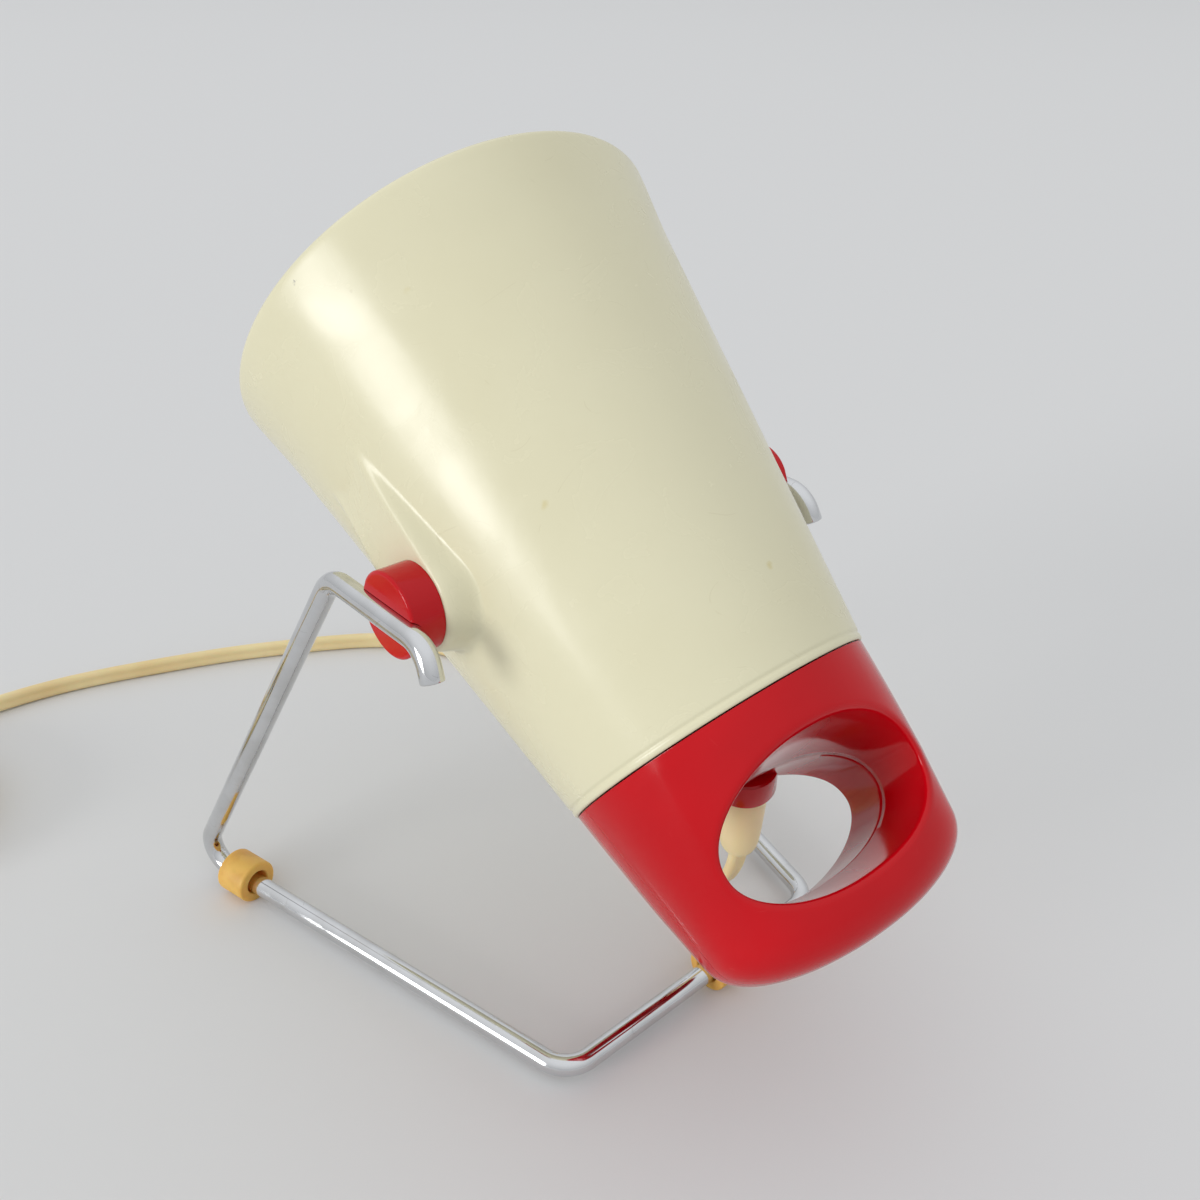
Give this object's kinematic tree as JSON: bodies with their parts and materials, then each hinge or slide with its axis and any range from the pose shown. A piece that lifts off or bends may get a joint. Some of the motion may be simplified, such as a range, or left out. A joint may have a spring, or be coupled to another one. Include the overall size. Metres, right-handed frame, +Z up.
{
  "type": "infrared heat lamp",
  "caption": "Small table heat lamp: an enamelled cone with a reflector bulb tilts on two side knobs in a bent wire stand, with an oval grip at the back and a flat twin cord.",
  "frame": {"origin": "on the table, midway between the foremost point of the mouth's rim and the rearmost point of the handle, and midway across the stand", "axes": "+Z up; -Y is the way the lamp faces; the pivots lie along X"},
  "size_m": [0.3913, 0.3447, 0.2355],
  "materials": {
    "enamel": "stoved cream enamel, satin, a little worn",
    "red_moulding": "glossy deep red moulding",
    "steel": "zinc-plated",
    "chrome": "bright plated wire",
    "tan_rubber": "aged tan rubber, matt",
    "porcelain": "glazed white porcelain",
    "brass": "plain",
    "bulb_glass": "red reflector glass",
    "black_glass": "dark cap glass",
    "cap_metal": "plain",
    "brown_wire": "wire sleeve",
    "blue_wire": "wire sleeve",
    "clamp_plastic": "plain",
    "cord_cream": "flat twin cord and its mouldings, semi-matt cream",
    "tie_plastic": "soft black band"
  },
  "bodies": {
    "stand": {"knob_left": "red_moulding", "knob_right": "red_moulding", "pivot_studs": "steel", "pivot_washers": "steel", "pivot_nuts": "steel", "stand_wire": "chrome", "foot_left": "tan_rubber", "foot_right": "tan_rubber", "foot_rear": "tan_rubber", "cord_lead": "cord_cream", "cord": "cord_cream", "cord_coil": "cord_cream", "coil_tie": "tie_plastic", "plug_body": "cord_cream", "plug_pins": "brass"},
    "head": {"shade": "enamel", "handle_upper": "red_moulding", "handle_lower": "red_moulding", "handle_screws": "steel", "bridge_plate": "steel", "bridge_screws": "steel", "holder_body": "porcelain", "holder_screws": "steel", "terminal_screws": "brass", "holder_shell": "brass", "holder_contact": "brass", "bulb_glass": "bulb_glass", "bulb_cap": "cap_metal", "bulb_insulator": "black_glass", "bulb_contact": "cap_metal", "filament": "cap_metal", "lead_left": "brown_wire", "lead_right": "blue_wire", "cord_clamp": "clamp_plastic", "clamp_screws": "steel", "cord_inner": "cord_cream", "strain_relief": "cord_cream"}
  },
  "joints": [
    {"name": "head_tilt", "type": "hinge", "parent": "stand", "child": "head", "pos_m": [0, -0.00358, 0.1345], "axis": [-1, 0, 0], "range_deg": [-65, 53], "deforming": ["cord_lead"]}
  ]
}
